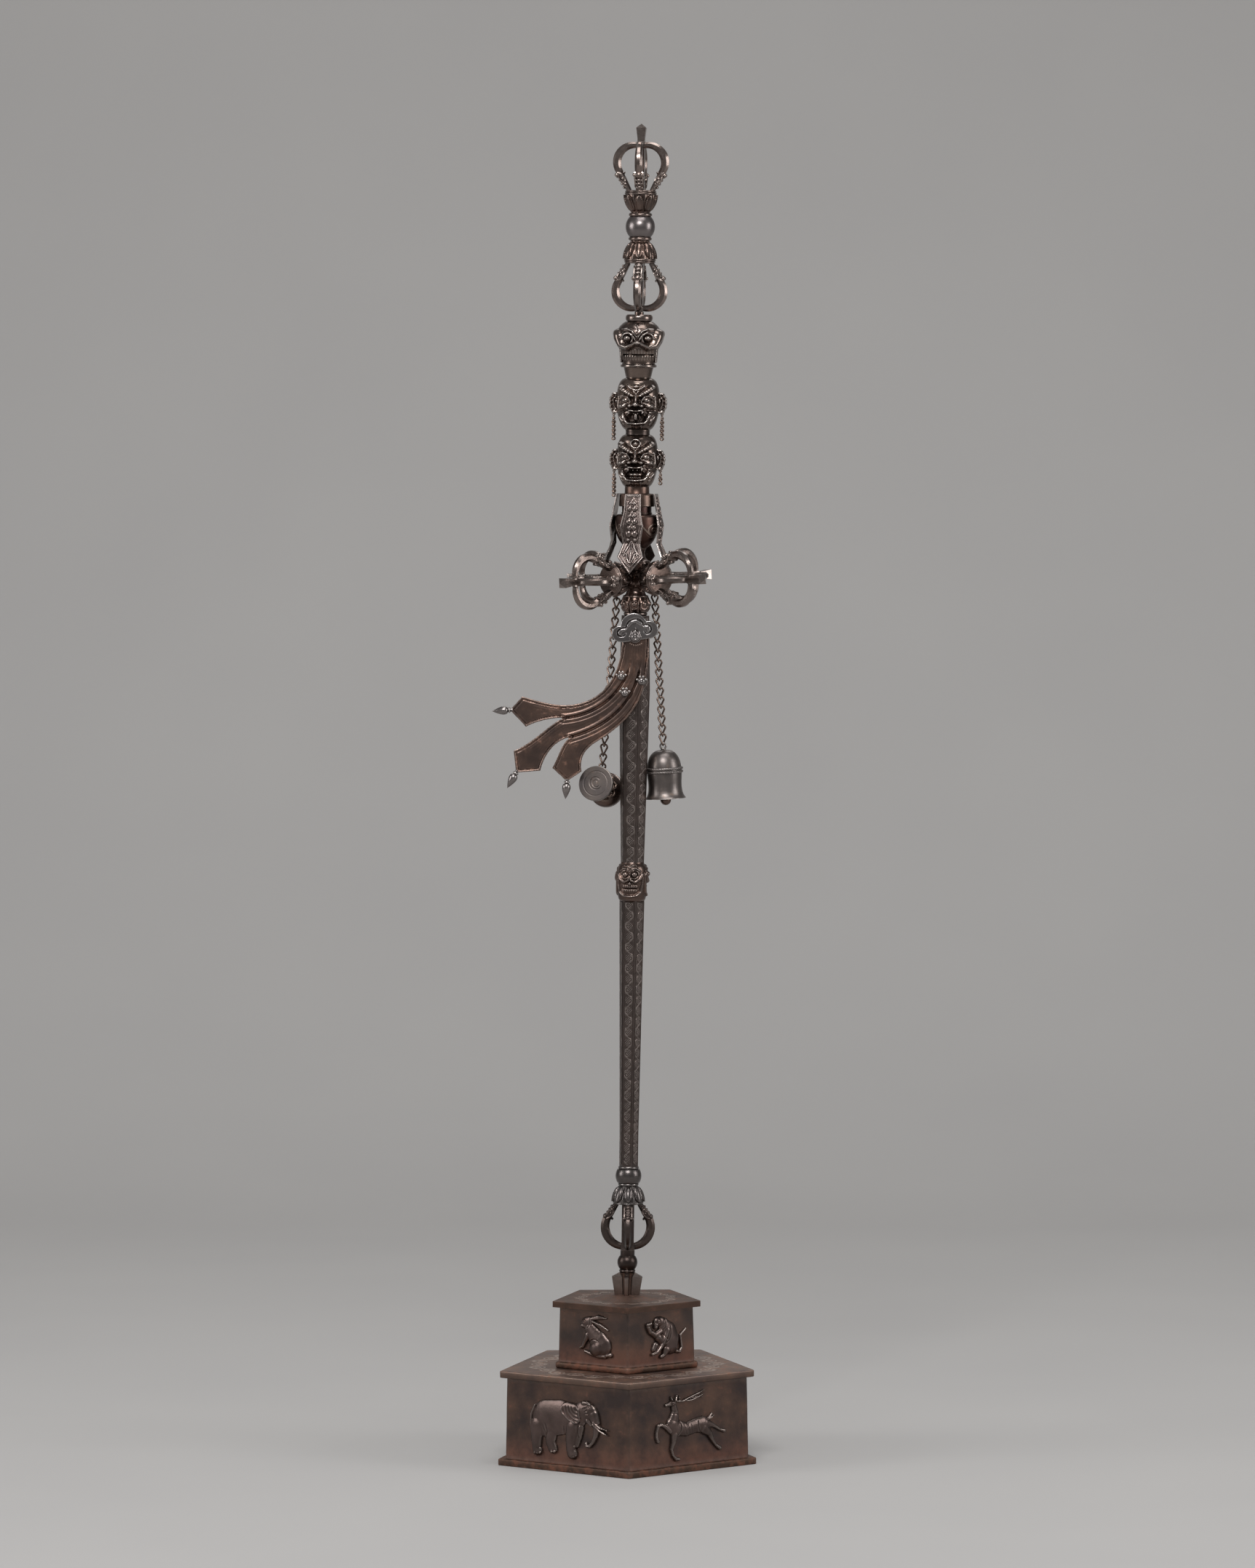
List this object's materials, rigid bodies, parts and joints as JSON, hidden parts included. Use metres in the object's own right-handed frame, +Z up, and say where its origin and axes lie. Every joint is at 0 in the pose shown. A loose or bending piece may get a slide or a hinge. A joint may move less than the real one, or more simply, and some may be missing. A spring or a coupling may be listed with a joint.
{
  "type": "ritual staff on a stand",
  "caption": "Iron ritual staff with vajra ends, skull and masks, crossed vajra, ribbon plate, hanging bell and drum, standing in a two-tier five-sided stand.",
  "frame": {"origin": "middle of the flat underside of the stand, on the floor", "axes": "+Z up along the stand's axis, the viewer's side towards -Y, one corner of the stand towards the viewer, ribbon towards -X and bell towards +X"},
  "size_m": [0.2717, 0.2562, 1.3817],
  "materials": {
    "rusted_iron": "matte red-brown rust over dark iron",
    "dark_iron": "dark brown-black iron, burnished on the raised parts",
    "brown_iron": "brown patinated iron with worn copper-brown edges",
    "burnished_iron": "burnished steel-grey iron with brown patches",
    "chain_iron": "rubbed copper-brown iron wire"
  },
  "bodies": {
    "stand": {"lower_foot_plate": "rusted_iron", "lower_wall_panels": "rusted_iron", "lower_top_plate": "rusted_iron", "upper_foot_plate": "rusted_iron", "upper_wall_panels": "rusted_iron", "upper_top_plate": "rusted_iron", "staff_socket": "rusted_iron", "elephant_reliefs": "rusted_iron", "deer_reliefs": "rusted_iron", "hare_reliefs": "rusted_iron", "monkey_reliefs": "rusted_iron"},
    "staff": {"finned_point": "dark_iron", "point_bulb": "dark_iron", "lower_crown": "dark_iron", "lower_lotus": "dark_iron", "lower_ball": "dark_iron", "lower_shaft": "dark_iron", "skull_knob": "dark_iron", "upper_shaft": "dark_iron", "petalled_ball": "dark_iron", "cross_hub": "dark_iron", "vajra_front_left": "dark_iron", "vajra_front_right": "dark_iron", "vajra_back_right": "dark_iron", "vajra_back_left": "dark_iron", "core_rod": "dark_iron", "baluster": "dark_iron", "vase": "brown_iron", "canopy_collar": "brown_iron", "lappet_front": "brown_iron", "lappet_right": "brown_iron", "lappet_back": "brown_iron", "lappet_left": "brown_iron", "lower_head": "dark_iron", "upper_head": "dark_iron", "dry_skull": "dark_iron", "cap_ring": "dark_iron", "finial_lower_crown": "dark_iron", "finial_grip": "dark_iron", "finial_upper_crown": "dark_iron", "ribbon": "brown_iron", "ribbon_bosses": "burnished_iron", "ribbon_drops": "burnished_iron", "cloud_plaque": "burnished_iron", "plaque_rivet": "burnished_iron", "chain_eyes": "chain_iron"},
    "bell_chain_upper": {"bell_chain_upper": "chain_iron"},
    "bell_chain_lower": {"bell_chain_lower": "chain_iron"},
    "bell": {"bell": "burnished_iron"},
    "clapper": {"clapper": "dark_iron"},
    "drum_chain_upper": {"drum_chain_upper": "chain_iron"},
    "drum_chain_lower": {"drum_chain_lower": "chain_iron"},
    "drum": {"drum_shell": "dark_iron", "drum_faces": "burnished_iron", "drum_winding": "chain_iron"},
    "ear_chain_upper_left": {"ear_chain_upper_left": "chain_iron"},
    "ear_chain_upper_right": {"ear_chain_upper_right": "chain_iron"},
    "ear_chain_lower_left": {"ear_chain_lower_left": "chain_iron"},
    "ear_chain_lower_right": {"ear_chain_lower_right": "chain_iron"}
  },
  "joints": [
    {"name": "staff_lift", "type": "slide", "parent": "stand", "child": "staff", "axis": [0.0141, 0, 0.9999], "range_m": [0, 0.1]},
    {"name": "bell_chain_swing", "type": "hinge", "parent": "staff", "child": "bell_chain_upper", "pos_m": [0.03085, 0.006, 0.89534], "axis": [0, -1, 0], "range_deg": [0, 30]},
    {"name": "bell_chain_bend", "type": "hinge", "parent": "bell_chain_upper", "child": "bell_chain_lower", "pos_m": [0.03506, 0.006, 0.81846], "axis": [0.9985, 0, 0.0547], "range_deg": [0, 12]},
    {"name": "bell_swing", "type": "hinge", "parent": "bell_chain_lower", "child": "bell", "pos_m": [0.03927, 0.006, 0.74157], "axis": [0, -1, 0], "range_deg": [0, 25]},
    {"name": "clapper_swing", "type": "hinge", "parent": "bell", "child": "clapper", "pos_m": [0.03986, 0.006, 0.72904], "axis": [0.9989, 0, 0.0469], "range_deg": [-12, 12]},
    {"name": "drum_chain_swing", "type": "hinge", "parent": "staff", "child": "drum_chain_upper", "pos_m": [-0.0084, 0.006, 0.8919], "axis": [0, 1, 0], "range_deg": [0, 4]},
    {"name": "drum_chain_bend", "type": "hinge", "parent": "drum_chain_upper", "child": "drum_chain_lower", "pos_m": [-0.01639, 0.006, 0.80125], "axis": [0.9961, 0, -0.0877], "range_deg": [0, 10]},
    {"name": "drum_swing", "type": "hinge", "parent": "drum_chain_lower", "child": "drum", "pos_m": [-0.02437, 0.006, 0.7106], "axis": [0, 1, 0], "range_deg": [-6, 15]},
    {"name": "ear_chain_upper_left_swing", "type": "hinge", "parent": "staff", "child": "ear_chain_upper_left", "pos_m": [-0.01097, 0.00261, 1.08285], "axis": [0.9944, -0.1045, -0.0141], "range_deg": [-15, 15]},
    {"name": "ear_chain_upper_right_swing", "type": "hinge", "parent": "staff", "child": "ear_chain_upper_right", "pos_m": [0.03875, -0.00261, 1.08215], "axis": [0.9944, -0.1045, -0.0141], "range_deg": [-15, 15]},
    {"name": "ear_chain_lower_left_swing", "type": "hinge", "parent": "staff", "child": "ear_chain_lower_left", "pos_m": [-0.0108, 0.00251, 1.02455], "axis": [0.9944, -0.1045, -0.0141], "range_deg": [-15, 15]},
    {"name": "ear_chain_lower_right_swing", "type": "hinge", "parent": "staff", "child": "ear_chain_lower_right", "pos_m": [0.03693, -0.00251, 1.02387], "axis": [0.9944, -0.1045, -0.0141], "range_deg": [-15, 15]}
  ]
}
